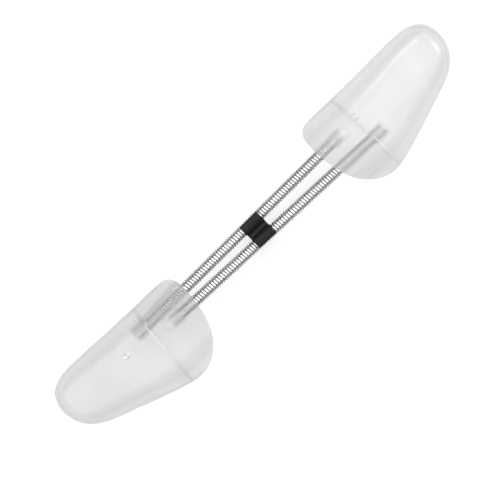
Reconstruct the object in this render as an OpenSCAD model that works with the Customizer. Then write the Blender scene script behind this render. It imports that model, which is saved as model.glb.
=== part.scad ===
// Pair of plastic shoe trees, nested head to tail and held together by a clip.
// Each tree is a hollow toe former, a long coil spring and a heel knob.
// X runs along the pair towards the right toe, Z is up, and +Y is the straight, inner side of both feet.

/* [Toe formers] */
// Length of a toe former
former_l = 125; // [105:1:150]
// Width of a toe former at the ball of the foot
former_w = 71; // [58:1:85]
// Height of the dome at its rear rim
instep_h = 44; // [38:1:55]
// Height of the dome where the toe starts to round down
toe_h = 25; // [21:1:32]
// Length over which the toe rounds down
toe_round = 19; // [12:1:26]
// Wall of a toe former
wall = 1.5; // [1.2:0.1:2.2]
// Place of the dome's ridge, as a share of the width from the straight side
ridge = 0.42; // [0.35:0.01:0.5]
// Squareness of the dome's sections, where 2 is an ellipse
squareness = 2.6; // [2:0.1:3.4]

/* [Spring sockets] */
// Distance from the rear rim to the cross rib that carries the socket
rib_x = 38.5; // [34:0.5:46]
// Thickness of the cross rib
rib_t = 1.6; // [1.2:0.1:2.4]
// Height of the rib's lower edge above the sole
rib_lift = 6; // [3:0.5:9]
// Turn of the rib, its outer side nearer the toe
rib_tilt = 5; // [0:0.5:8]
// Depth of the socket behind the rib
socket_depth = 9.8; // [7:0.2:14]
// Wall of the socket's sleeve
socket_wall = 1.3; // [1:0.1:2]
// Left spring's distance from the straight side of its former
left_socket_y = 18.5; // [16:0.5:24]
// Right spring's distance from the straight side of its former
right_socket_y = 43; // [36:0.5:46]

/* [Springs] */
// Outer diameter of a spring
spring_d = 8.7; // [7:0.1:10.5]
// Diameter of the spring wire
wire_d = 1.6; // [1.2:0.1:1.9]
// Number of curls in each spring
curls = 45; // [30:1:46]
// Free space between the two springs at the clip
spring_space = 5.3; // [4.8:0.1:7]
// Angle of each spring to the middle line
splay = 1.03; // [0:0.01:1.1]
// Height of the spring axes above the sole
spring_z = 18; // [15:0.5:20]
// Distance from the middle of the clip to a former's rear rim
rear_reach = 66; // [54:1:80]

/* [Heel knobs] */
// Length of a heel knob
knob_l = 14.5; // [12:0.5:18]
// Depth of the knob's bore
knob_bore = 8; // [6:0.5:10]
// Wall of the knob round its bore
knob_wall = 1.1; // [0.9:0.1:1.5]
// How far the flange at the knob's mouth stands out
flange_out = 0.5; // [0.3:0.1:0.8]
// Thickness of the flange
flange_t = 1.6; // [1:0.1:2.4]
// Free space between a knob's tip and the rib in front of it
nest_gap = 8.5; // [7:0.5:14]

/* [Clip] */
// Length of the clip
clip_l = 16.4; // [12:0.2:22]
// Wall of the clip's two channels
clip_wall = 1.4; // [1:0.1:2]
// Opening angle of each channel's mouth
clip_mouth = 100; // [80:1:120]
// Height of the bridge between the channels
bridge_h = 6; // [4:0.5:9]

/* [Fits] */
// Clearance round a spring in its sockets, in the clip and at its ends
fit = 0.1; // [0.08:0.01:0.2]

/* [Hidden] */

// The outline of a former seen from above, from the rear rim to the toe, as shares of its length
// and width. The outer side swells at the ball and the inner side stays straight.
OUTER_SIDE = [[0, 0.25], [0.015, 0.52], [0.065, 0.765], [0.16, 0.935], [0.285, 1],
              [0.43, 0.945], [0.645, 0.81], [0.87, 0.655], [0.97, 0.49], [1, 0.29]];
INNER_SIDE = [[0, 0.25], [0.012, 0.13], [0.05, 0.06], [0.13, 0.038], [0.3, 0.032],
              [0.5, 0.02], [0.8, 0], [0.91, 0.035], [0.975, 0.125], [1, 0.29]];
// Where each side wall stops standing on the sole and the rear edge begins to rise
BALL = 0.285;
INNER_HEEL = 0.16;
// Slope of the dome from the instep down to the toe, where 1 is straight
INSTEP_CURVE = 1.25;
TOE_SQUARENESS = 2.4;
// Steps along each former and across its dome
LONG_STEPS = 40;
ARCH_STEPS = 26;
SIDE_STEPS = 8;

// Rings to a curl, and sides of the wire
CURL_RINGS = 8;
WIRE_SIDES = 6;
END_RINGS = 3;

FROST = [0.93, 0.94, 0.94, 0.8];
SMOOTH = 96;
SPRING_R = spring_d / 2;
COIL_R = SPRING_R - wire_d / 2;
BORE_R = SPRING_R + fit;
SPACING = spring_d + spring_space;
RIB_REACH = rear_reach + rib_x;
KNOB_REACH = RIB_REACH - rib_t / 2 - nest_gap - knob_l;
TOE_END = RIB_REACH + socket_depth - fit;
HEEL_END = KNOB_REACH + knob_bore - fit;
KNOB_R = BORE_R + knob_wall;

// A smooth curve through points: the point at share t between b and c, with a before and d after
function between(a, b, c, d, t) =
    0.5 * (2 * b + (c - a) * t + (2 * a - 5 * b + 4 * c - d) * t * t + (3 * b - a - 3 * c + d) * t * t * t);
// The two sides join in round ends, so each side's neighbour past its end lies on the other side
function side_curve(side, other) =
    let (last = len(side) - 1)
    [for (i = [0:last - 1], s = [0:SIDE_STEPS - 1])
        between(i == 0 ? other[1] : side[i - 1], side[i], side[i + 1],
                i == last - 1 ? other[last - 1] : side[i + 2], s / SIDE_STEPS),
     side[last]];
function sized(curve) = [for (p = curve) [p.x * former_l, p.y * former_w]];
OUTER = sized(side_curve(OUTER_SIDE, INNER_SIDE));
INNER = sized(side_curve(INNER_SIDE, OUTER_SIDE));

// Where the side walls would stand on the sole at x, before the rear edge is cut
function outer_base(x) = lookup(max(x, BALL * former_l), OUTER);
function inner_base(x) = lookup(max(x, INNER_HEEL * former_l), INNER);
function ridge_y(x) = inner_base(x) + ridge * (outer_base(x) - inner_base(x));
TOE_X = former_l - toe_round;
function dome_h(x) = x < TOE_X
    ? toe_h + (instep_h - toe_h) * pow((TOE_X - x) / TOE_X, INSTEP_CURVE)
    : toe_h * pow(max(0, 1 - pow((x - TOE_X) / toe_round, TOE_SQUARENESS)), 1 / TOE_SQUARENESS);
// The place across the dome at angle w, from 0 at the outer wall to 180 at the inner one, set in by depth
function arch(x, w, depth) =
    let (h = max(0, dome_h(x) - depth),
         reach = w < 90 ? outer_base(x) - ridge_y(x) : ridge_y(x) - inner_base(x),
         half = max(0, reach - depth),
         across = pow(abs(cos(w)), 2 / squareness) * half,
         up = pow(max(0, sin(w)), 2 / squareness) * h)
    [ridge_y(x) + (w < 90 ? across : -across), up];
// The angle at which the dome passes over y
function angle_over(x, y) = y >= ridge_y(x)
    ? acos(pow(min(1, (y - ridge_y(x)) / (outer_base(x) - ridge_y(x))), squareness / 2))
    : 180 - acos(pow(min(1, (ridge_y(x) - y) / (ridge_y(x) - inner_base(x))), squareness / 2));
function edge_angles(x) = [angle_over(x, lookup(x, OUTER)), angle_over(x, lookup(x, INNER))];

// Steps along the former, closer together at its ends
function station(k) = former_l * (1 - cos(180 * k / LONG_STEPS)) / 2;
// The toe end of the inside lies one wall behind the outside
function set_back(x, depth) = x > TOE_X ? TOE_X + (x - TOE_X) * (toe_round - depth) / toe_round : x;
function section(x, depth) =
    let (ends = edge_angles(x))
    [for (j = [0:ARCH_STEPS])
        let (w = ends[0] + (ends[1] - ends[0]) * j / ARCH_STEPS, p = arch(x, w, depth))
        [set_back(x, depth), p[0], p[1]]];
function rear_point(depth) = let (p = arch(0, edge_angles(0)[0], depth)) [0, p[0], p[1]];
function toe_point(depth) = [former_l - depth, outer_base(former_l), 0];

// One skin of the former: its rear point, its sections and its toe point
function skin(depth) = concat([rear_point(depth)],
    [for (k = [1:LONG_STEPS - 1]) each section(station(k), depth)],
    [toe_point(depth)]);
ROW = ARCH_STEPS + 1;
SKIN_POINTS = (LONG_STEPS - 1) * ROW + 2;
// The number of the point at step k along and step j across
function at(k, j) = k == 0 ? 0 : k == LONG_STEPS ? SKIN_POINTS - 1 : 1 + (k - 1) * ROW + j;
function turned(f, flip) = flip ? [f[2], f[1], f[0]] : f;
function moved(f, by) = [for (i = f) i + by];
function skin_faces(by, flip) = [for (k = [0:LONG_STEPS - 1], j = [0:ARCH_STEPS - 1]) each concat(
    k == LONG_STEPS - 1 ? [] : [moved(turned([at(k, j), at(k + 1, j), at(k + 1, j + 1)], flip), by)],
    k == 0 ? [] : [moved(turned([at(k, j), at(k + 1, j + 1), at(k, j + 1)], flip), by)])];
// The edge that joins the two skins, along the step j
function edge_faces(j, flip) = [for (k = [0:LONG_STEPS - 1]) each [
    turned([at(k, j), at(k, j) + SKIN_POINTS, at(k + 1, j)], flip),
    turned([at(k + 1, j), at(k, j) + SKIN_POINTS, at(k + 1, j) + SKIN_POINTS], flip)]];

module shell() {
    polyhedron(
        points = concat(skin(0), skin(wall)),
        faces = concat(skin_faces(0, false), skin_faces(SKIN_POINTS, true),
                       edge_faces(0, false), edge_faces(ARCH_STEPS, true)),
        convexity = 8);
}

// The rib's outline in its own tilted plane, from the socket's axis, sunk half way into the wall
module rib(socket_y) {
    function rib_at(y) = rib_x + (y - socket_y) * tan(rib_tilt);
    function wall_point(w) =
        let (first = arch(rib_x, w, wall / 2), p = arch(rib_at(first[0]), w, wall / 2))
        [(p[0] - socket_y) / cos(rib_tilt), p[1]];
    arc = [for (j = [0:ARCH_STEPS]) wall_point(180 * j / ARCH_STEPS)];
    high = [for (p = arc) if (p[1] > rib_lift) p];
    outline = concat([[arc[0][0], rib_lift]], high, [[arc[ARCH_STEPS][0], rib_lift]]);
    translate([rib_x, socket_y, 0])
        rotate([90, 0, 90 - rib_tilt])
            translate([0, 0, -rib_t / 2])
                linear_extrude(rib_t)
                    polygon(outline);
}

// A hollow toe former for one foot. x runs from its rear rim to the toe and y from its straight side.
module toe_former(socket_y) {
    difference() {
        union() {
            shell();
            rib(socket_y);
            translate([rib_x, socket_y, spring_z])
                rotate([0, 90, 0])
                    cylinder(h = socket_depth + socket_wall, r = BORE_R + socket_wall, $fn = SMOOTH);
        }
        translate([rib_x - 2 * rib_t, socket_y, spring_z])
            rotate([0, 90, 0])
                cylinder(h = socket_depth + 2 * rib_t, r = BORE_R, $fn = SMOOTH);
    }
}

// The wire's path rolled flat: [distance round the coil, distance along it, heading].
// It climbs evenly, and at each end it turns to run straight along the spring's axis.
LENGTH = TOE_END + HEEL_END;
BEND_R = wire_d;
CLIMB = LENGTH - 2 * (BEND_R + wire_d);
HEADING = atan(CLIMB / curls / (2 * PI * COIL_R));
HELIX = LENGTH - 2 * (BEND_R * cos(HEADING) + wire_d);
ROUND = 2 * PI * COIL_R * curls;
function end_turn(i) = let (a = HEADING + (90 - HEADING) * i / END_RINGS)
    [BEND_R * (sin(a) - sin(HEADING)), BEND_R * (cos(HEADING) - cos(a)), a];
LAST = end_turn(END_RINGS);
END_RUN = concat([for (i = [1:END_RINGS]) end_turn(i)], [[LAST[0], LAST[1] + wire_d, 90]]);
PATH = concat(
    [for (i = [len(END_RUN) - 1:-1:0]) [-END_RUN[i][0], -END_RUN[i][1], END_RUN[i][2]]],
    [for (i = [0:curls * CURL_RINGS]) let (t = i / (curls * CURL_RINGS)) [t * ROUND, t * HELIX, HEADING]],
    [for (p = END_RUN) [ROUND + p[0], HELIX + p[1], p[2]]]);
START = -HEEL_END + (LENGTH - HELIX) / 2;

function path_angle(p) = p[0] / COIL_R * 180 / PI;
function path_point(p) =
    [START + p[1], COIL_R * cos(path_angle(p)), COIL_R * sin(path_angle(p))];
function wire_ring(p) =
    let (a = path_angle(p), out = [0, cos(a), sin(a)],
         along = [sin(p[2]), -sin(a) * cos(p[2]), cos(a) * cos(p[2])],
         side = cross(along, out))
    [for (s = [0:WIRE_SIDES - 1]) let (b = 360 * s / WIRE_SIDES)
        path_point(p) + wire_d / 2 * (cos(b) * out + sin(b) * side)];
RINGS = len(PATH);
WIRE_POINTS = [for (p = PATH) each wire_ring(p)];
WIRE_FACES = concat(
    [for (i = [0:RINGS - 2], s = [0:WIRE_SIDES - 1])
        let (a = i * WIRE_SIDES + s, b = i * WIRE_SIDES + (s + 1) % WIRE_SIDES)
        each [[a, b, a + WIRE_SIDES], [b, b + WIRE_SIDES, a + WIRE_SIDES]]],
    [for (s = [1:WIRE_SIDES - 2]) [0, s + 1, s]],
    [for (s = [1:WIRE_SIDES - 2]) let (o = (RINGS - 1) * WIRE_SIDES) [o, o + s, o + s + 1]]);

// The least gap of a spring's wire to itself, measured between the rings of neighbouring curls
LINE = [for (p = PATH) path_point(p)];
WIRE_GAP = min([for (i = [0:RINGS - 1], j = [i + CURL_RINGS / 2:min(RINGS - 1, i + 2 * CURL_RINGS)])
    if (j < RINGS && abs(path_angle(PATH[j]) - path_angle(PATH[i])) > 180) norm(LINE[j] - LINE[i])]) - wire_d;
echo(least_wire_gap = WIRE_GAP);

// A coil spring along x, from its heel end to its toe end, with the clip at 0
module coil_spring() {
    polyhedron(points = WIRE_POINTS, faces = WIRE_FACES, convexity = 10);
}

// A round cap over the spring's heel end. Its mouth is at 0 and its tip at +x.
module heel_knob() {
    tip_r = KNOB_R * 0.55;
    rotate([0, 90, 0])
        rotate_extrude($fn = SMOOTH)
            difference() {
                union() {
                    square([KNOB_R, knob_l - tip_r]);
                    square([KNOB_R + flange_out, flange_t]);
                    square([KNOB_R - tip_r, knob_l]);
                    translate([KNOB_R - tip_r, knob_l - tip_r])
                        intersection() {
                            circle(tip_r, $fn = SMOOTH);
                            square(tip_r);
                        }
                }
                translate([0, -1])
                    square([BORE_R, knob_bore + 1]);
            }
}

// One open channel of the clip round a spring along x, with its mouth towards +y
module channel() {
    outer_r = BORE_R + clip_wall;
    reach = 2 * outer_r;
    half = clip_mouth / 2;
    rotate([90, 0, 90])
        translate([0, 0, -clip_l / 2])
            linear_extrude(clip_l)
                difference() {
                    circle(outer_r, $fn = SMOOTH);
                    circle(BORE_R, $fn = SMOOTH);
                    polygon([[0, 0], [reach * cos(half), reach * sin(half)], [reach, 0],
                             [reach * cos(half), -reach * sin(half)]]);
                }
}

// Places for one tree: x then runs from the clip to the tree's toe, along its spring
module left_tree() {
    translate([-MID.x, SPACING / 2 - MID.y, 0])
        rotate(180 + splay)
            children();
}
module right_tree() {
    translate([-MID.x, -SPACING / 2 - MID.y, 0])
        rotate(-splay)
            children();
}

// The middle of the whole pair's outline, which becomes the origin
function turned_by(p, a) = [p.x * cos(a) - p.y * sin(a), p.x * sin(a) + p.y * cos(a)];
EDGE = [for (k = [0:LONG_STEPS]) let (x = station(k)) each [[x, lookup(x, OUTER)], [x, lookup(x, INNER)]]];
LEFT_EDGE = [for (p = EDGE)
    turned_by([rear_reach + p.x, p.y - left_socket_y], 180 + splay) + [0, SPACING / 2]];
RIGHT_EDGE = [for (p = EDGE)
    turned_by([rear_reach + p.x, right_socket_y - p.y], -splay) - [0, SPACING / 2]];
ALL_EDGES = concat(LEFT_EDGE, RIGHT_EDGE);
LOW = [min([for (p = ALL_EDGES) p.x]), min([for (p = ALL_EDGES) p.y])];
HIGH = [max([for (p = ALL_EDGES) p.x]), max([for (p = ALL_EDGES) p.y])];
MID = (LOW + HIGH) / 2;

module left_toe_former() {
    color(FROST)
        left_tree()
            translate([rear_reach, -left_socket_y, 0])
                toe_former(left_socket_y);
}

module right_toe_former() {
    color(FROST)
        right_tree()
            mirror([0, 1, 0])
                translate([rear_reach, -right_socket_y, 0])
                    toe_former(right_socket_y);
}

module left_spring() {
    color("silver")
        left_tree()
            translate([0, 0, spring_z])
                coil_spring();
}

module right_spring() {
    color("silver")
        right_tree()
            translate([0, 0, spring_z])
                coil_spring();
}

module left_heel_knob() {
    color(FROST)
        left_tree()
            translate([-KNOB_REACH, 0, spring_z])
                rotate(180)
                    heel_knob();
}

module right_heel_knob() {
    color(FROST)
        right_tree()
            translate([-KNOB_REACH, 0, spring_z])
                rotate(180)
                    heel_knob();
}

module spring_clip() {
    color([0.1, 0.1, 0.1])
        union() {
            left_tree()
                translate([0, 0, spring_z])
                    rotate([180, 0, 0])
                        channel();
            right_tree()
                translate([0, 0, spring_z])
                    rotate([180, 0, 0])
                        channel();
            bridge_w = SPACING - 2 * BORE_R - clip_wall;
            translate([-clip_l / 2 - MID.x, -bridge_w / 2 - MID.y, spring_z - bridge_h / 2])
                cube([clip_l, bridge_w, bridge_h]);
        }
}

echo(middle = MID, knob_reach = KNOB_REACH, toe_end = TOE_END, heel_end = HEEL_END, spacing = SPACING);

left_toe_former();
right_toe_former();
left_spring();
right_spring();
left_heel_knob();
right_heel_knob();
spring_clip();
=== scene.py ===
import math

import bmesh
import bpy
import numpy as np
from mathutils import Matrix, Vector


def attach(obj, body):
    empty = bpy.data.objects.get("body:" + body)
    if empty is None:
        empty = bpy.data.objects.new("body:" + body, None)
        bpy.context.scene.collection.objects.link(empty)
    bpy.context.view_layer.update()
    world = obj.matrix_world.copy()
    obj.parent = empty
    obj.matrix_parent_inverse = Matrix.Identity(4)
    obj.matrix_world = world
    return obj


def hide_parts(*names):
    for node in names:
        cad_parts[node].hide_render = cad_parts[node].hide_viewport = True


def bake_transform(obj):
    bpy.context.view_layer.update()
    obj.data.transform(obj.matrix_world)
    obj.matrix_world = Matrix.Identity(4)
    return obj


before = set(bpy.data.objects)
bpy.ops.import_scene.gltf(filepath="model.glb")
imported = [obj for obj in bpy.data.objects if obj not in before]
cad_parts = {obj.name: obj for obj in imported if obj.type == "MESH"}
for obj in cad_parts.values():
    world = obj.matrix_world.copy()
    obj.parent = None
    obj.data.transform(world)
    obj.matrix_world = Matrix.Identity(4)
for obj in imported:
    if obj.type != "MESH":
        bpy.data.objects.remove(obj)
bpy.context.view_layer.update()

# Camera, straight above the pair and turned as in the photo, with heights and sight in metres
PIXELS_PER_MM = 1.4
PICTURE = 500
CAMERA_HEIGHT = 1.7
FOCUS_HEIGHT = 0.012
SENSOR = 36.0
SIGHT_FROM = 0.01
SIGHT_TO = 20.0
PHOTO_TURN = math.radians(43.64)
PHOTO_RIGHT = np.array([math.cos(PHOTO_TURN), -math.sin(PHOTO_TURN)])
PHOTO_UP = np.array([math.sin(PHOTO_TURN), math.cos(PHOTO_TURN)])
# The clip's middle in the row frame in mm, and in pixels right of and above the photo's middle
CLIP_MIDDLE = np.array([-0.220205, 7.08516])
CLIP_IN_PHOTO = np.array([8.0, 20.0])


def camera_over_photo():
    """A camera that looks along -Z. Its picture is 500 / 1.4 mm wide at the focus height, and the clip's
    middle lies 8 pixels right of and 20 pixels above the picture's middle."""
    field = PICTURE / PIXELS_PER_MM / 1000
    middle = CLIP_MIDDLE - (CLIP_IN_PHOTO[0] * PHOTO_RIGHT + CLIP_IN_PHOTO[1] * PHOTO_UP) / PIXELS_PER_MM
    data = bpy.data.cameras.new("photo_camera")
    data.sensor_width = SENSOR
    data.lens = SENSOR * (CAMERA_HEIGHT - FOCUS_HEIGHT) / field
    data.clip_start = SIGHT_FROM
    data.clip_end = SIGHT_TO
    camera = bpy.data.objects.new("photo_camera", data)
    bpy.context.scene.collection.objects.link(camera)
    turn = Matrix(((PHOTO_RIGHT[0], PHOTO_UP[0], 0), (PHOTO_RIGHT[1], PHOTO_UP[1], 0), (0, 0, 1)))
    place = Vector((middle[0] / 1000, middle[1] / 1000, CAMERA_HEIGHT))
    camera.matrix_world = Matrix.Translation(place) @ turn.to_4x4()
    bpy.context.scene.camera = camera


camera_over_photo()

# Sizes of the real object in millimetres, the same as in the solids
# Toe former; the ridge, the ball and the inner heel are shares of its width or length, and the squareness
# and curve are exponents
FORMER_L = 125.0
FORMER_W = 71.0
INSTEP_H = 44.0
TOE_H = 25.0
TOE_ROUND = 19.0
WALL = 1.5
RIDGE = 0.42
SQUARENESS = 2.6
TOE_SQUARENESS = 2.4
INSTEP_CURVE = 1.25
BALL = 0.285
INNER_HEEL = 0.16
TOE_X = FORMER_L - TOE_ROUND
# Cross rib and spring socket
RIB_X = 38.5
RIB_T = 1.6
RIB_LIFT = 6.0
RIB_TILT = math.radians(5)
SOCKET_DEPTH = 9.8
SOCKET_WALL = 1.3
# Spring and heel knob
SPRING_D = 8.7
SPRING_Z = 18.0
REAR_REACH = 66.0
KNOB_L = 14.5
KNOB_BORE = 8.0
KNOB_WALL = 1.1
FLANGE_OUT = 0.5
FLANGE_T = 1.6
NEST_GAP = 8.5
# Clip
CLIP_L = 16.4
CLIP_WALL = 1.4
CLIP_MOUTH = math.radians(100)
SPRING_SPACE = 5.3
# Gap round a spring in its bores, each tree's splay, and what follows from all of them
FIT = 0.1
SPLAY = math.radians(1.03)
BORE_R = SPRING_D / 2 + FIT
SPACING = SPRING_D + SPRING_SPACE
RIB_REACH = REAR_REACH + RIB_X
KNOB_REACH = RIB_REACH - RIB_T / 2 - NEST_GAP - KNOB_L
TOE_END = RIB_REACH + SOCKET_DEPTH - FIT
HEEL_END = KNOB_REACH + KNOB_BORE - FIT
KNOB_R = BORE_R + KNOB_WALL

# The real springs are close-wound: wire and pitch as counted in the photo
WIRE_D = 1.85
PITCH = 2.18
WIRE_SIDES = 12
RINGS_PER_CURL = 26

# Each tree's turn and its shift from the clip's middle, the side of its outer wall, and how far its socket
# lies from its straight side
TREES = {
    "left": {"turn": math.pi + SPLAY, "shift": SPACING / 2, "side": 1, "socket_y": 18.5},
    "right": {"turn": -SPLAY, "shift": -SPACING / 2, "side": -1, "socket_y": 43.0},
}

# The former's outline from the rear rim to the toe, as shares of its length and width
OUTER_SIDE = np.array([[0, 0.25], [0.015, 0.52], [0.065, 0.765], [0.16, 0.935], [0.285, 1],
                       [0.43, 0.945], [0.645, 0.81], [0.87, 0.655], [0.97, 0.49], [1, 0.29]])
INNER_SIDE = np.array([[0, 0.25], [0.012, 0.13], [0.05, 0.06], [0.13, 0.038], [0.3, 0.032],
                       [0.5, 0.02], [0.8, 0], [0.91, 0.035], [0.975, 0.125], [1, 0.29]])
SIDE_STEPS = 24

# Points nearer to each other than this, in metres, are one
MERGE = 2e-6


def tree_to_row(tree, points):
    """Points of one tree, in mm with x along its spring from the clip and z up from the sole, in the row
    frame in metres: a turn by the tree's angle about Z, then a shift to its place beside the clip."""
    place = TREES[tree]
    c, s = math.cos(place["turn"]), math.sin(place["turn"])
    x, y, z = points[..., 0], points[..., 1], points[..., 2]
    row = np.stack([c * x - s * y + CLIP_MIDDLE[0],
                    s * x + c * y + CLIP_MIDDLE[1] + place["shift"],
                    z], axis=-1)
    return row / 1000


def former_to_row(tree, points):
    """Points of a former, x from its rear rim and y from its straight side, in the row frame in metres."""
    place = TREES[tree]
    moved = np.stack([points[..., 0] + REAR_REACH,
                      place["side"] * (points[..., 1] - place["socket_y"]),
                      points[..., 2]], axis=-1)
    return tree_to_row(tree, moved)


def mesh_of_loops(name, loops, caps=()):
    """A smooth closed surface through loops, an array of rows by columns by 3. Each row closes on itself.
    Rows that shrink to a line or a point close when their equal points merge; caps names the end rows,
    first or last, that get a fan to their middle instead."""
    rows, columns = loops.shape[:2]
    points = loops.reshape(-1, 3)
    i, j = np.meshgrid(np.arange(rows - 1), np.arange(columns), indexing="ij")
    a = (i * columns + j).ravel()
    b = (i * columns + (j + 1) % columns).ravel()
    faces = np.stack([a, b, b + columns, a + columns], axis=1).tolist()
    for end in caps:
        row = 0 if end == "first" else rows - 1
        middle = loops[row].mean(axis=0)
        centre = len(points)
        points = np.vstack([points, middle])
        ring = row * columns + np.arange(columns)
        fan = np.stack([ring, np.roll(ring, -1), np.full(columns, centre)], axis=1)
        faces += fan.tolist()
    mesh = bpy.data.meshes.new(name)
    mesh.from_pydata(points.tolist(), [], faces)
    grow = bmesh.new()
    grow.from_mesh(mesh)
    bmesh.ops.remove_doubles(grow, verts=grow.verts, dist=MERGE)
    bmesh.ops.recalc_face_normals(grow, faces=grow.faces)
    grow.to_mesh(mesh)
    grow.free()
    mesh.polygons.foreach_set("use_smooth", np.ones(len(mesh.polygons), bool))
    mesh.update()
    piece = bpy.data.objects.new(name, mesh)
    bpy.context.scene.collection.objects.link(piece)
    return piece


def side_curve(side, other):
    """A smooth curve through side's points: between b and c, with a before and d after, it is
    0.5 (2b + (c - a) t + (2a - 5b + 4c - d) t^2 + (3b - a - 3c + d) t^3). The two sides of the outline
    share their end points, so a side's neighbour past its end is the other side's."""
    run = np.vstack([other[1], side, other[-2]])
    a, b, c, d = run[:-3, None], run[1:-2, None], run[2:-1, None], run[3:, None]
    t = (np.arange(SIDE_STEPS) / SIDE_STEPS)[None, :, None]
    curve = 0.5 * (2 * b + (c - a) * t + (2 * a - 5 * b + 4 * c - d) * t ** 2
                   + (3 * b - a - 3 * c + d) * t ** 3)
    return np.vstack([curve.reshape(-1, 2), side[-1]]) * [FORMER_L, FORMER_W]


OUTER = side_curve(OUTER_SIDE, INNER_SIDE)
INNER = side_curve(INNER_SIDE, OUTER_SIDE)


def outer_base(x):
    """Where the outer wall stands on the sole; behind the ball it runs straight back."""
    return np.interp(np.maximum(x, BALL * FORMER_L), OUTER[:, 0], OUTER[:, 1])


def inner_base(x):
    """Where the inner wall stands on the sole; behind the heel end it runs straight back."""
    return np.interp(np.maximum(x, INNER_HEEL * FORMER_L), INNER[:, 0], INNER[:, 1])


def ridge_y(x):
    """The dome's highest line, a fixed share of the width from the inner wall."""
    return inner_base(x) + RIDGE * (outer_base(x) - inner_base(x))


def dome_h(x):
    """Height of the dome: toe_h + (instep_h - toe_h) ((X - x) / X)^1.25 up to the toe, and from there
    toe_h (1 - s^2.4)^(1/2.4), where s runs from 0 to 1 along the toe's rounding."""
    slope = TOE_H + (INSTEP_H - TOE_H) * np.maximum((TOE_X - x) / TOE_X, 0) ** INSTEP_CURVE
    s = np.clip((x - TOE_X) / TOE_ROUND, 0, 1)
    round_end = TOE_H * np.maximum(1 - s ** TOE_SQUARENESS, 0) ** (1 / TOE_SQUARENESS)
    return np.where(x < TOE_X, slope, round_end)


def arch(x, angle, depth):
    """The dome's section at x. The unit superellipse |c|^n + |s|^n = 1 in the direction of angle, stretched
    to the reach of that side and to the dome's height, both less depth. Angle 0 is the outer wall."""
    c, s = np.cos(angle), np.maximum(np.sin(angle), 0)
    size = (np.abs(c) ** SQUARENESS + s ** SQUARENESS) ** (-1 / SQUARENESS)
    reach = np.where(c > 0, outer_base(x) - ridge_y(x), ridge_y(x) - inner_base(x))
    across = c * size * np.maximum(reach - depth, 0)
    up = s * size * np.maximum(dome_h(x) - depth, 0)
    return ridge_y(x) + across, up


def edge_angle(x, outline, base):
    """The angle where the section at x passes over the outline: with q the outline's share of the reach,
    the direction of the superellipse's point (q, (1 - q^n)^(1/n))."""
    reach = base(x) - ridge_y(x)
    q = np.clip((np.interp(x, outline[:, 0], outline[:, 1]) - ridge_y(x)) / reach, -1, 1)
    up = np.maximum(1 - np.abs(q) ** SQUARENESS, 0) ** (1 / SQUARENESS)
    angle = np.arctan2(up, q)
    return angle if base is outer_base else math.pi - angle


STATIONS = 170
SKIN_STEPS = 90
EDGE_STEPS = 10
# Rounding of the wall's edges in mm, and the share of a section's turn that it takes at most
EDGE_ROUND = 0.45
EDGE_ROOM = 0.3
# A section's millimetres per radian are measured over this angle, and they count as no fewer than these
ANGLE_STEP = 1e-3
LEAST_SIZE = 0.5


def former_shell(name, tree):
    """The hollow toe former. Each loop goes over the dome outside, round one edge of the wall, back under the
    dome inside and round the other edge. Across an edge, at share v of the wall, the surface stands back
    from the edge line by EDGE_ROUND (1 - (1 - |2v - 1|^3)^(1/3)), so both corners are rounded."""
    k = np.arange(STATIONS + 1)[:, None]
    x = FORMER_L * (1 - np.cos(math.pi * k / STATIONS)) / 2
    first = edge_angle(x, OUTER, outer_base)
    last = edge_angle(x, INNER, inner_base)
    turns = []
    for angle, step in ((first, ANGLE_STEP), (last, -ANGLE_STEP)):
        y0, z0 = arch(x, angle, WALL / 2)
        y1, z1 = arch(x, angle + step, WALL / 2)
        size = np.maximum(np.hypot(y1 - y0, z1 - z0) / ANGLE_STEP, LEAST_SIZE)
        turns.append(np.minimum(EDGE_ROUND / size, (last - first) * EDGE_ROOM))
    low, high = first + turns[0], last - turns[1]
    t = np.linspace(0, 1, SKIN_STEPS + 1)[None]
    v = np.linspace(0, 1, EDGE_STEPS + 1)[None, 1:-1]
    back = 1 - (1 - np.abs(2 * v - 1) ** 3) ** (1 / 3)
    angle = np.concatenate([low + (high - low) * t, last - turns[1] * back,
                            high + (low - high) * t, first + turns[0] * back], axis=1)
    flat = np.zeros((1, SKIN_STEPS + 1))
    depth = np.concatenate([flat, v * WALL, flat + WALL, (1 - v) * WALL], axis=1)
    depth = np.broadcast_to(depth, angle.shape)
    wide = np.broadcast_to(x, angle.shape)
    y, z = arch(wide, angle, depth)
    set_back = np.where(wide > TOE_X, TOE_X + (wide - TOE_X) * (TOE_ROUND - depth) / TOE_ROUND, wide)
    loops = np.stack([set_back, y, z], axis=-1)
    return mesh_of_loops(name, former_to_row(tree, loops))


ARCH_STEPS = 600
ROUND_STEPS = 160
# A distance past every outline in mm, and the least downward part of a direction
FAR_OUT = 1e3
LEAST_DOWN = 1e-6


def rib_reach(tree, psi):
    """Distance from the socket's axis to the rib's outline in the direction psi: to the arch in the middle of
    the former's wall, or to the rib's lower edge where that comes first."""
    socket_y = TREES[tree]["socket_y"]
    w = np.linspace(0, math.pi, ARCH_STEPS)
    y0, _ = arch(np.full_like(w, RIB_X), w, WALL / 2)
    y, z = arch(RIB_X + (y0 - socket_y) * math.tan(RIB_TILT), w, WALL / 2)
    bearing = np.unwrap(np.arctan2(z - SPRING_Z, y - socket_y))
    reach = np.hypot(z - SPRING_Z, y - socket_y)
    turned = (psi - bearing[0]) % (2 * math.pi) + bearing[0]
    far = np.interp(turned, bearing, reach, right=FAR_OUT)
    down = np.maximum(-np.sin(psi), LEAST_DOWN)
    return np.minimum(far, (SPRING_Z - RIB_LIFT) / down)


def corner_arc(start, end, steps):
    """Angles from start to end in degrees, as radians."""
    return np.radians(np.linspace(start, end, steps))


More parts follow.
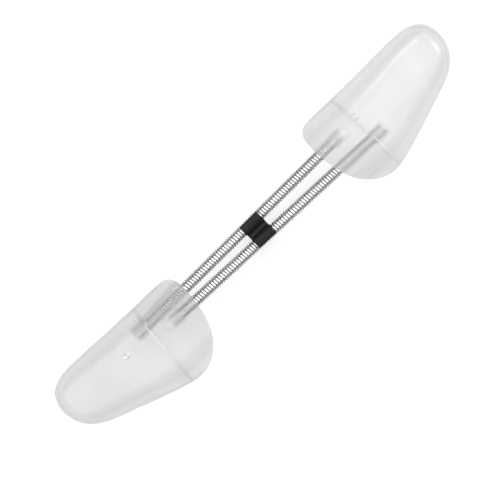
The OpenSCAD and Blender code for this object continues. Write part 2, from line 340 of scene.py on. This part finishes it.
def rib_with_socket(name, tree):
    """The cross rib and its spring socket as one surface round the socket's axis. Each row has a radius r, a
    share q of the way to the rib's outline and a place h along the axis: rho = r (1 - q) + q (R(psi) - e).
    The rib leans by its tilt, and the lean fades out along the sleeve. The roundings' radii in mm are tip at
    the sleeve's end, fillet at its root, soft at the rib's edge, lip at the bore's mouth and floor at its
    bottom, and the sleeve's rows start run behind its end."""
    tip, fillet, soft, lip, floor, run = 0.8, 1.2, 0.3, 0.5, 0.6, 2
    psi = np.linspace(0, 2 * math.pi, ROUND_STEPS, endpoint=False)[None]
    reach = rib_reach(tree, psi)
    sleeve_r = BORE_R + SOCKET_WALL
    end = SOCKET_DEPTH + SOCKET_WALL
    half = RIB_T / 2
    root = sleeve_r + fillet
    rows = [(0, 0, 0, end), (sleeve_r / 2, 0, 0, end)]
    for a in corner_arc(90, 0, 6):
        rows.append((sleeve_r - tip + tip * math.cos(a), 0, 0, end - tip + tip * math.sin(a)))
    for h in np.linspace(end - run, half + fillet, 6):
        rows.append((sleeve_r, 0, 0, h))
    for a in corner_arc(180, 270, 6)[1:]:
        rows.append((root + fillet * math.cos(a), 0, 0, half + fillet + fillet * math.sin(a)))
    for q in np.linspace(0, 1, 14)[1:]:
        rows.append((root, q, soft, half))
    for a in corner_arc(90, 0, 4)[1:]:
        rows.append((root, 1, soft - soft * math.cos(a), half - soft + soft * math.sin(a)))
    for a in corner_arc(0, -90, 4):
        rows.append((root, 1, soft - soft * math.cos(a), -half + soft + soft * math.sin(a)))
    for q in np.linspace(1, 0, 16)[1:]:
        rows.append((BORE_R + lip, q, soft, -half))
    for a in corner_arc(270, 180, 5)[1:]:
        rows.append((BORE_R + lip + lip * math.cos(a), 0, 0, -half + lip + lip * math.sin(a)))
    for h in np.linspace(-half + lip, SOCKET_DEPTH - floor, 7)[1:]:
        rows.append((BORE_R, 0, 0, h))
    for a in corner_arc(0, 90, 5)[1:]:
        rows.append((BORE_R - floor + floor * math.cos(a), 0, 0, SOCKET_DEPTH - floor + floor * math.sin(a)))
    rows.append((0, 0, 0, SOCKET_DEPTH))
    r, q, e, h = (np.array(column)[:, None] for column in zip(*rows))
    rho = r * (1 - q) + q * (reach - e)
    lean = np.clip(1 - (h - half) / (end - half), 0, 1)
    across = rho * np.cos(psi)
    loops = np.stack([RIB_X + h + across * math.tan(RIB_TILT) * lean,
                      TREES[tree]["socket_y"] + across,
                      SPRING_Z + rho * np.sin(psi)], axis=-1)
    return mesh_of_loops(name, former_to_row(tree, loops))


def spring_wire(name, tree, start, end):
    """Part of a close-wound spring from start to end along its axis. The wire's middle is the right-handed
    helix (s, C cos(2 pi s / P), C sin(2 pi s / P)) with C the coil's mean radius and P the pitch, and round
    it runs a circle of the wire's radius across its heading."""
    coil_r = (SPRING_D - WIRE_D) / 2
    count = int(round(abs(end - start) / PITCH * RINGS_PER_CURL)) + 1
    s = np.linspace(start, end, count)[:, None]
    phase = 2 * math.pi * s / PITCH
    b = np.linspace(0, 2 * math.pi, WIRE_SIDES, endpoint=False)[None]
    climb = PITCH / (2 * math.pi * coil_r)
    size = math.hypot(1, climb)
    out = np.stack([0 * phase, np.cos(phase), np.sin(phase)], axis=-1)
    along = np.stack([climb + 0 * phase, -np.sin(phase), np.cos(phase)], axis=-1) / size
    side = np.cross(along, out)
    middle = np.stack([s, coil_r * np.cos(phase), coil_r * np.sin(phase)], axis=-1)
    loops = middle + WIRE_D / 2 * (np.cos(b)[..., None] * out + np.sin(b)[..., None] * side)
    loops[..., 2] += SPRING_Z
    return mesh_of_loops(name, tree_to_row(tree, loops), caps=("first", "last"))


KNOB_STEPS = 96
# The knob's rounded tip as a share of its radius
TIP_SHARE = 0.55


def heel_knob(name, tree):
    """A knob turned round the spring's axis: from its rounded tip along the outside to the flange, over the
    rounded mouth and down the bore to its floor. The roundings' radii in mm are cove above the flange, bead
    at the flange's rim, lip at the mouth and floor at the bore's bottom, and the straight side ends stop
    above the flange."""
    cove, bead, lip, floor, stop = 0.4, 0.35, 0.3, 0.6, 0.5
    tip_r = KNOB_R * TIP_SHARE
    flange_r = KNOB_R + FLANGE_OUT
    rows = [(KNOB_L, 0), (KNOB_L, (KNOB_R - tip_r) / 2)]
    for a in corner_arc(90, 0, 14):
        rows.append((KNOB_L - tip_r + tip_r * math.sin(a), KNOB_R - tip_r + tip_r * math.cos(a)))
    for x in np.linspace(KNOB_L - tip_r, FLANGE_T + stop, 8)[1:]:
        rows.append((x, KNOB_R))
    for a in corner_arc(180, 270, 6)[1:]:
        rows.append((FLANGE_T + cove + cove * math.sin(a), KNOB_R + cove + cove * math.cos(a)))
    for a in corner_arc(80, 0, 5):
        rows.append((FLANGE_T - bead + bead * math.sin(a), flange_r - bead + bead * math.cos(a)))
    for a in corner_arc(0, -90, 6):
        rows.append((bead + bead * math.sin(a), flange_r - bead + bead * math.cos(a)))
    for a in corner_arc(270, 180, 6):
        rows.append((lip + lip * math.sin(a), BORE_R + lip + lip * math.cos(a)))
    for x in np.linspace(lip, KNOB_BORE - floor, 7)[1:]:
        rows.append((x, BORE_R))
    for a in corner_arc(0, 90, 5)[1:]:
        rows.append((KNOB_BORE - floor + floor * math.sin(a), BORE_R - floor + floor * math.cos(a)))
    rows.append((KNOB_BORE, 0))
    x, r = (np.array(column)[:, None] for column in zip(*rows))
    turn = np.linspace(0, 2 * math.pi, KNOB_STEPS, endpoint=False)[None]
    loops = np.stack([-KNOB_REACH - x + 0 * turn, r * np.cos(turn), SPRING_Z + r * np.sin(turn)], axis=-1)
    return mesh_of_loops(name, tree_to_row(tree, loops))


# Rounding of the clip's ends, and where its straight rows begin behind them, in mm
CLIP_ROUND = 0.5
CLIP_INSET = 2
STRIP_STEPS = 72
LIP_STEPS = 9
# Half height of the clip's bridge in its middle, and how much it swells towards the channels, in mm
BRIDGE_HALF = 2.6
BRIDGE_SWELL = 0.9
BRIDGE_STEPS = 25


def clip_rows():
    """Places along the clip and how full its section is there: the section grows from its middle line to
    full size over the flat end and the rounding behind it, and shrinks again at the other end."""
    soft = CLIP_ROUND / (CLIP_WALL / 2)
    half = CLIP_L / 2
    grown = np.linspace(0, 1 - soft, 4)[:-1]
    corner = corner_arc(0, 90, 7)
    fill = np.concatenate([grown, 1 - soft * (1 - np.sin(corner))])
    x = np.concatenate([np.zeros(len(grown)), CLIP_ROUND * (1 - np.cos(corner))])
    middle = np.linspace(-half + CLIP_INSET, half - CLIP_INSET, 12)
    places = np.concatenate([x - half, middle, half - x[::-1]])
    return places[:, None], np.concatenate([fill, np.ones(len(middle)), fill[::-1]])[:, None]


def clip_channel(name, tree):
    """One channel: a bent strip round the spring with its mouth to the outer side. Across the strip its
    thickness is wall times fill, and half circles of that thickness close its two lips."""
    places, fill = clip_rows()
    middle_r = BORE_R + CLIP_WALL / 2
    lip = CLIP_WALL / 2 / middle_r
    a0 = CLIP_MOUTH / 2 + lip
    a1 = 2 * math.pi - CLIP_MOUTH / 2 - lip
    t = np.linspace(0, 1, STRIP_STEPS)
    skin = np.ones(STRIP_STEPS)
    arc = np.linspace(0, math.pi, LIP_STEPS + 2)[1:-1]
    angle = np.concatenate([a0 + (a1 - a0) * t, np.full(LIP_STEPS, a1),
                            a1 + (a0 - a1) * t, np.full(LIP_STEPS, a0)])[None]
    deep = np.concatenate([skin, np.cos(arc), -skin, -np.cos(arc)])[None] * CLIP_WALL / 2 * fill
    past = np.concatenate([0 * t, np.sin(arc), 0 * t, -np.sin(arc)])[None] * CLIP_WALL / 2 * fill
    y = (middle_r + deep) * np.cos(angle) - past * np.sin(angle)
    z = (middle_r + deep) * np.sin(angle) + past * np.cos(angle)
    loops = np.stack([places + 0 * y, -y, SPRING_Z + z], axis=-1)
    return mesh_of_loops(name, tree_to_row(tree, loops))


def clip_bridge(name):
    """The bar between the channels. Its half height is 2.6 + 0.9 |t|^3 for t from -1 to 1 across it, so it
    swells towards the channels' backs, and its ends lose as much height as the channels' walls do."""
    places, fill = clip_rows()
    half = SPACING / 2 - BORE_R - CLIP_WALL / 2
    t = np.linspace(-1, 1, BRIDGE_STEPS)
    height = BRIDGE_HALF + BRIDGE_SWELL * np.abs(t) ** 3
    across = np.concatenate([t, t[::-1]])[None]
    up = np.concatenate([height, -height[::-1]])[None]
    end = np.where(fill == 0, 0, 1 - (1 - fill) * CLIP_WALL / 2 / BRIDGE_HALF)
    y = across * half + 0 * end
    z = SPRING_Z + up * end
    row = np.stack([places + 0 * y + CLIP_MIDDLE[0], y + CLIP_MIDDLE[1], z], axis=-1) / 1000
    return mesh_of_loops(name, row)


def node_material(name):
    """A new material with nodes: the tree, its main shader and its output."""
    material = bpy.data.materials.new(name)
    material.use_nodes = True
    tree = material.node_tree
    return material, tree, tree.nodes["Principled BSDF"], tree.nodes["Material Output"]


def feed(node, *inputs, **named):
    """Gives values to a node's inputs, to the first ones in their order and to others by name. An output is
    linked, and a node stands for its first output."""
    sockets = list(zip(node.inputs, inputs))
    sockets += [(node.inputs[key.replace("_", " ")], value) for key, value in named.items()]
    for socket, value in sockets:
        if isinstance(value, bpy.types.Node):
            value = value.outputs[0]
        if isinstance(value, bpy.types.NodeSocket):
            node.id_data.links.new(value, socket)
        else:
            socket.default_value = value
    return node


def add_node(tree, kind, *inputs, **values):
    """A node of that kind, fed with its inputs. Values by name are its properties or inputs."""
    node = tree.nodes.new(kind)
    for key in [key for key in values if hasattr(node, key)]:
        setattr(node, key, values.pop(key))
    return feed(node, *inputs, **values)


def maths(tree, operation, *inputs, **values):
    """A node that calculates with its inputs."""
    return add_node(tree, "ShaderNodeMath", *inputs, operation=operation, **values)


def mixed(tree, share, first, second):
    """A mix of two shaders that has that share of the second."""
    return add_node(tree, "ShaderNodeMixShader", share, first, second)


# Between these values lies nearly all of a noise
NOISE_LOW = 0.15
NOISE_HIGH = 0.85


def noise(tree, scale, detail):
    """A noise over the piece's own place in the row frame."""
    place = add_node(tree, "ShaderNodeTexCoord").outputs["Object"]
    return add_node(tree, "ShaderNodeTexNoise", Vector=place, Scale=scale, Detail=detail)


def spread(tree, grain, low, high):
    """A noise spread between two values."""
    return add_node(tree, "ShaderNodeMapRange", grain, NOISE_LOW, NOISE_HIGH, low, high)


def grey(tone):
    """A grey colour."""
    return tone, tone, tone, 1


def ramp(tree, share, low, high, start=0.0):
    """A colour that runs from low to high while share goes from start to 1."""
    node = add_node(tree, "ShaderNodeValToRGB", share)
    node.color_ramp.elements[0].position = start
    node.color_ramp.elements[0].color = low
    node.color_ramp.elements[1].color = high
    return node


# Gate marks: the ring's radius, half its width and the depth of its bump in metres
RING_R = 0.002
RING_HALF = 0.0007
RING_BUMP = 0.001
# Extra gloss on those rings
RING_GLOSS = 0.3
# Where moulding left one on each dome
GATE_MARKS = [(-0.1293, 0.0067, 0.0311), (0.1049, 0.0179, 0.0354)]


def gate_mark(tree, place, normal):
    """Bends the normal as a low ring of radius 2 mm round a place in the row frame would, and gives that
    normal and the ring's height: 1 - ((d - 2 mm) / 0.7 mm)^2 where that is above 0, with d the distance
    from the place."""
    spot = add_node(tree, "ShaderNodeTexCoord").outputs["Object"]
    away = add_node(tree, "ShaderNodeVectorMath", spot, place, operation="DISTANCE").outputs["Value"]
    share = maths(tree, "DIVIDE", maths(tree, "SUBTRACT", away, RING_R), RING_HALF)
    ring = maths(tree, "SUBTRACT", 1.0, maths(tree, "POWER", share, 2.0), use_clamp=True)
    bump = add_node(tree, "ShaderNodeBump", Strength=1.0, Distance=RING_BUMP, Height=ring, Normal=normal)
    return bump, ring


def moulded_skin(tree, marks):
    """The normal of a moulded skin, bent by slow waves, by a fine grain and by a ring at each gate mark, and
    the heights of those rings."""
    waves = noise(tree, scale=45.0, detail=0.0)
    grain = noise(tree, scale=2600.0, detail=2.0)
    normal = add_node(tree, "ShaderNodeBump", Strength=0.06, Distance=0.0006, Height=waves)
    normal = add_node(tree, "ShaderNodeBump", Strength=0.2, Distance=0.00005, Height=grain, Normal=normal)
    rings = []
    for place in marks:
        normal, ring = gate_mark(tree, place, normal)
        rings.append(ring)
    return normal, rings


PLASTIC_IOR = 1.35
# Light that passes where the sight meets the wall squarely, and how slanted it is where that begins to fall
CLEAR_TONE = 0.95
SLANT_START = 0.84
# Colour of the blurring body, and the share of the milk that is lit from the front
BODY_TONE = 0.85
FRONT_SHARE = 0.45
# How much the milk varies from place to place
CLOUDY = 0.06
# Share of the lamps' light that one skin of the plastic lets through
LIGHT_THROUGH = 0.97
# How much clearer a skin is that the sight goes along than one that it meets squarely
SLANT_CLEAR = 0.28
# The gloss grows from low to high while the slant goes from start to 1
SHEEN_START = 0.6
SHEEN_LOW = 0.03
SHEEN_HIGH = 0.12


def frosted_plastic(name, see_through, milk, tone, painted_glow, edge, marks=()):
    """Frosted translucent plastic. The share see_through of what lies behind it shows straight, and more of
    it where the skin slants. Of the rest, the share milk is scattered with brightness tone and a rough clear
    body blurs what is left. Where the sight goes along the wall, all three darken to edge. Its outside has a
    soft gloss, and most of the lamps' light gets through. guided is the strength of a painted glow: an
    emission that no lamp causes, standing in for light that a thin plate would lead along itself and give
    off at its edges. Fine grain and slow waves from moulding bend the surface, and each gate mark is a small,
    more glossy ring on a dome."""
    material, tree, body, output = node_material(name)
    rough = spread(tree, noise(tree, scale=260.0, detail=3.0), low=0.15, high=0.25)
    normal, rings = moulded_skin(tree, marks)
    slant = add_node(tree, "ShaderNodeLayerWeight", Blend=0.5).outputs["Facing"]
    depth = ramp(tree, slant, grey(CLEAR_TONE), grey(edge), SLANT_START)
    milk_tone = add_node(tree, "ShaderNodeVectorMath", depth, operation="SCALE", Scale=tone)
    body_tone = add_node(tree, "ShaderNodeVectorMath", depth, operation="SCALE", Scale=BODY_TONE)

    feed(body, Base_Color=body_tone, Transmission_Weight=1.0, IOR=PLASTIC_IOR, Roughness=rough, Normal=normal)
    behind = add_node(tree, "ShaderNodeBsdfTranslucent", Color=milk_tone, Normal=normal)
    front = add_node(tree, "ShaderNodeBsdfDiffuse", Color=milk_tone, Normal=normal)
    # Painted glow of strength guided: an emission that makes the plastic give off light of its own, with no
    # lamp behind it
    painted_glow_shader = add_node(tree, "ShaderNodeEmission", Strength=painted_glow)
    lit = add_node(tree, "ShaderNodeAddShader", mixed(tree, FRONT_SHARE, behind, front), painted_glow_shader)
    cloud = spread(tree, noise(tree, scale=35.0, detail=1.0), milk - CLOUDY, milk + CLOUDY)
    blurred = mixed(tree, cloud, body, lit)

    clear = add_node(tree, "ShaderNodeBsdfTransparent", depth)
    rays = add_node(tree, "ShaderNodeLightPath").outputs
    lamp_way = maths(tree, "MAXIMUM", rays["Is Shadow Ray"], rays["Is Glossy Ray"])
    clearer = maths(tree, "MULTIPLY_ADD", slant, SLANT_CLEAR, see_through)
    through = add_node(tree, "ShaderNodeMapRange", lamp_way, To_Min=clearer, To_Max=LIGHT_THROUGH)
    inside = mixed(tree, through, blurred, clear)

    gloss = add_node(tree, "ShaderNodeBsdfGlossy", Color=grey(1.0), Roughness=rough, Normal=normal)
    shine = add_node(tree, "ShaderNodeMapRange", slant, SHEEN_START, To_Min=SHEEN_LOW, To_Max=SHEEN_HIGH)
    for ring in rings:
        shine = maths(tree, "MULTIPLY_ADD", ring, RING_GLOSS, shine)
    feed(output, mixed(tree, shine, inside, gloss))
    return material


def grained_surface(name, dark, light, spots, grain, rough, bump, **looks):
    """A surface whose colour runs from dark to light in spots, and whose roughness and fine bumps follow a
    grain. spots and grain are the scale and detail of their noises, rough is the roughness from least to
    most, and bump is the grain's strength and its height in metres."""
    material, tree, surface, _ = node_material(name)
    colour = ramp(tree, spread(tree, noise(tree, *spots), 0.0, 1.0), dark, light)
    marks = noise(tree, *grain)
    normal = add_node(tree, "ShaderNodeBump", Strength=bump[0], Distance=bump[1], Height=marks)
    feed(surface, Base_Color=colour, Roughness=spread(tree, marks, *rough), Normal=normal, **looks)
    return material


SHELL = frosted_plastic("frosted_plastic", see_through=0.5, milk=0.55, tone=0.52, painted_glow=0.0, edge=0.3,
                        marks=GATE_MARKS)
# The rib's plastics carry a painted glow (guided above 0): an emission that makes the rib and its edges show
# as bright lines, with no lamp lighting them so
RIB = frosted_plastic("frosted_rib", see_through=0.68, milk=0.75, tone=0.85, painted_glow=0.8, edge=0.85)
RIB_EDGE = frosted_plastic("frosted_rib_edge", see_through=0.5, milk=0.85, tone=0.9, painted_glow=0.65, edge=0.9)
RIB_MIDDLE = frosted_plastic("frosted_rib_middle", see_through=0.58, milk=0.8, tone=0.86, painted_glow=0.5,
                             edge=0.9)
RIB_END = frosted_plastic("frosted_rib_end", see_through=0.66, milk=0.75, tone=0.81, painted_glow=0.35, edge=0.9)
# Painted glow: the knob's plastic gives off light of its own (guided 0.5), so that it reads as a bright body
KNOB = frosted_plastic("knob_plastic", see_through=0.5, milk=0.85, tone=0.85, painted_glow=0.5, edge=0.8)
# Bright plated wire with faint drawing marks and a slightly uneven polish
STEEL = grained_surface("spring_steel", dark=(0.6, 0.605, 0.61, 1), light=(0.73, 0.73, 0.735, 1),
                        spots=(900.0, 3.0), grain=(2400.0, 3.0), rough=(0.27, 0.36), bump=(0.12, 0.00003),
                        Metallic=1.0)
# Satin black moulded plastic with a fine grain and slightly worn, lighter spots
BLACK = grained_surface("clip_plastic", dark=(0.008, 0.008, 0.009, 1), light=(0.018, 0.018, 0.02, 1),
                        spots=(300.0, 4.0), grain=(1800.0, 3.0), rough=(0.38, 0.52), bump=(0.2, 0.00005),
                        IOR=1.23)


def finish_piece(piece, material, replaced):
    """Gives a piece its material and hides the node of the solids that it stands in for."""
    piece.data.materials.append(material)
    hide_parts(replaced)


# How far the rib's edge carries its full painted bright line, and where that painted line has faded, from the
# spring's axis outwards, in metres
RIB_BRIGHT = 0.022
RIB_FADED = 0.031
# The edge starts this far from the spring's axis in metres, and its normals lean less than this along X
EDGE_AWAY = 0.0085
EDGE_LEAN = 0.6


def mark_rib_edge(rib, tree):
    """Gives the rib's narrow faces, those that look across the spring's axis and lie well outside the socket,
    the materials of a painted bright line along the edge, each with its own painted glow: the brightest on
    the outer side near the socket, a weaker one further out, and the weakest where the line has faded and on
    the inner side."""
    for material in (RIB_EDGE, RIB_MIDDLE, RIB_END):
        rib.data.materials.append(material)
    count = len(rib.data.polygons)
    centre = np.empty(count * 3)
    normal = np.empty(count * 3)
    rib.data.polygons.foreach_get("center", centre)
    rib.data.polygons.foreach_get("normal", normal)
    axis_y = tree_to_row(tree, np.array([[RIB_REACH, 0, SPRING_Z]]))[0, 1]
    across = centre[1::3] - axis_y
    away = np.hypot(across, centre[2::3] - SPRING_Z / 1000)
    edge = (np.abs(normal[::3]) < EDGE_LEAN) & (away > EDGE_AWAY)
    faded = (across > 0) | (across < -RIB_FADED)
    slots = np.select([~edge, faded, across < -RIB_BRIGHT], [0, 3, 2], 1)
    rib.data.polygons.foreach_set("material_index", slots.astype(np.int32))


for tree in TREES:
    shell = former_shell(f"{tree}_former_shell", tree)
    rib = rib_with_socket(f"{tree}_former_rib", tree)
    for part, plastic in ((shell, SHELL), (rib, RIB)):
        finish_piece(part, plastic, f"{tree}_toe_former")
        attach(part, f"{tree}_toe")
    mark_rib_edge(rib, tree)
    knob = heel_knob(f"{tree}_knob", tree)
    finish_piece(knob, KNOB, f"{tree}_heel_knob")
    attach(knob, f"{tree}_heel")
    front = spring_wire(f"{tree}_spring_front", tree, 0.0, TOE_END)
    back = spring_wire(f"{tree}_spring_back", tree, -HEEL_END, 0.0)
    for part in (front, back):
        finish_piece(part, STEEL, f"{tree}_spring")
    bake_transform(front)
    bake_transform(back)
    channel = clip_channel(f"clip_channel_{tree}", tree)
    finish_piece(channel, BLACK, "spring_clip")
    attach(channel, "clip")
bridge = clip_bridge("clip_bridge")
finish_piece(bridge, BLACK, "spring_clip")
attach(bridge, "clip")

# Floor: its size, how far it lies under the soles, its tone and its own glow
FLOOR_SIZE = 8
FLOOR_DROP = 0.0002
FLOOR_TONE = 0.65
FLOOR_GLOW = 0.52
# Grey walls: their distance from the pair, their length, height and tone
WALL_AWAY = 1.5
WALL_LONG = 3.6
WALL_HIGH = 1.2
WALL_TONE = 0.08
WALL_ROUGH = 0.9
# The key lamp stands this far up and this far left in the photo, in metres
KEY_UP = 0.75
KEY_LEFT = 0.45


def stage_floor():
    """A white floor under the pair. It glows a little to the camera and through the frosted plastic, so that
    it reads white while the object's shadow still shows on it. From below it is clear."""
    bpy.ops.mesh.primitive_plane_add(size=FLOOR_SIZE, location=(0, 0, -FLOOR_DROP))
    floor = bpy.context.object
    floor.name = "floor"
    material, tree, plain, output = node_material("white_floor")
    tree.nodes.remove(plain)
    rays = add_node(tree, "ShaderNodeLightPath").outputs
    seen = maths(tree, "MAXIMUM", rays["Is Camera Ray"], rays["Is Transmission Ray"])
    paper = add_node(tree, "ShaderNodeBsdfDiffuse", Color=grey(FLOOR_TONE))
    strength = maths(tree, "MULTIPLY", seen, FLOOR_GLOW)
    glow = add_node(tree, "ShaderNodeEmission", Color=grey(1.0), Strength=strength)
    top = add_node(tree, "ShaderNodeAddShader", paper, glow)
    from_below = add_node(tree, "ShaderNodeNewGeometry").outputs["Backfacing"]
    nothing = add_node(tree, "ShaderNodeBsdfTransparent")
    feed(output, mixed(tree, from_below, top, nothing))
    floor.data.materials.append(material)
    return floor


def grey_cloth():
    """A dull grey cloth."""
    material, _, cloth, _ = node_material("grey_wall")
    feed(cloth, Base_Color=grey(WALL_TONE), Roughness=WALL_ROUGH)
    return material


CLOTH = grey_cloth()


def stage_wall(side):
    """A long grey cloth wall beside the pair, along its springs, that shows only as the darker part of
    reflections."""
    bpy.ops.mesh.primitive_plane_add(size=1, location=(0, side * WALL_AWAY, WALL_HIGH / 2),
                                     rotation=(math.pi / 2, 0, 0))
    wall = bpy.context.object
    wall.scale = (WALL_LONG, WALL_HIGH, 1)
    wall.name = "grey_wall"
    wall.data.materials.append(CLOTH)
    wall.visible_camera = False
    wall.visible_diffuse = False
    wall.visible_shadow = False
    wall.visible_transmission = False
    return wall


def soft_lamp(name, place, size, power):
    """A square lamp that points at the pair, with its place and size in metres and its power in watts."""
    data = bpy.data.lights.new(name, "AREA")
    data.size = size
    data.energy = power
    lamp = bpy.data.objects.new(name, data)
    bpy.context.scene.collection.objects.link(lamp)
    lamp.location = place
    lamp.rotation_euler = (-Vector(place)).to_track_quat("-Z", "Y").to_euler()
    return lamp


stage_floor()
stage_wall(1)
stage_wall(-1)
key_way = PHOTO_UP * KEY_UP - PHOTO_RIGHT * KEY_LEFT
soft_lamp("key_lamp", (key_way[0], key_way[1], 1.3), 0.7, 6.5)
soft_lamp("top_lamp", (0.4, -0.1, 1.8), 1.4, 6.5)
soft_lamp("toe_lamp", (1.5, -0.36, 0.6), 0.55, 5.5)

# Strength of the white surroundings: on the object, to the camera, and what glossy rays see on top
SKY_ROUND = 0.6
SKY_BEHIND = 1.0
SKY_MIRRORED = 0.9


def white_surroundings():
    """Even white light from all sides that the camera sees as plain white."""
    world = bpy.data.worlds.new("studio")
    bpy.context.scene.world = world
    world.use_nodes = True
    sky = world.node_tree
    rays = add_node(sky, "ShaderNodeLightPath").outputs
    plain = add_node(sky, "ShaderNodeMapRange", rays["Is Camera Ray"], To_Min=SKY_ROUND, To_Max=SKY_BEHIND)
    strength = maths(sky, "MULTIPLY_ADD", rays["Is Glossy Ray"], SKY_MIRRORED, plain)
    feed(sky.nodes["Background"], Color=grey(1.0), Strength=strength)


white_surroundings()
bpy.context.scene.view_settings.view_transform = "Standard"
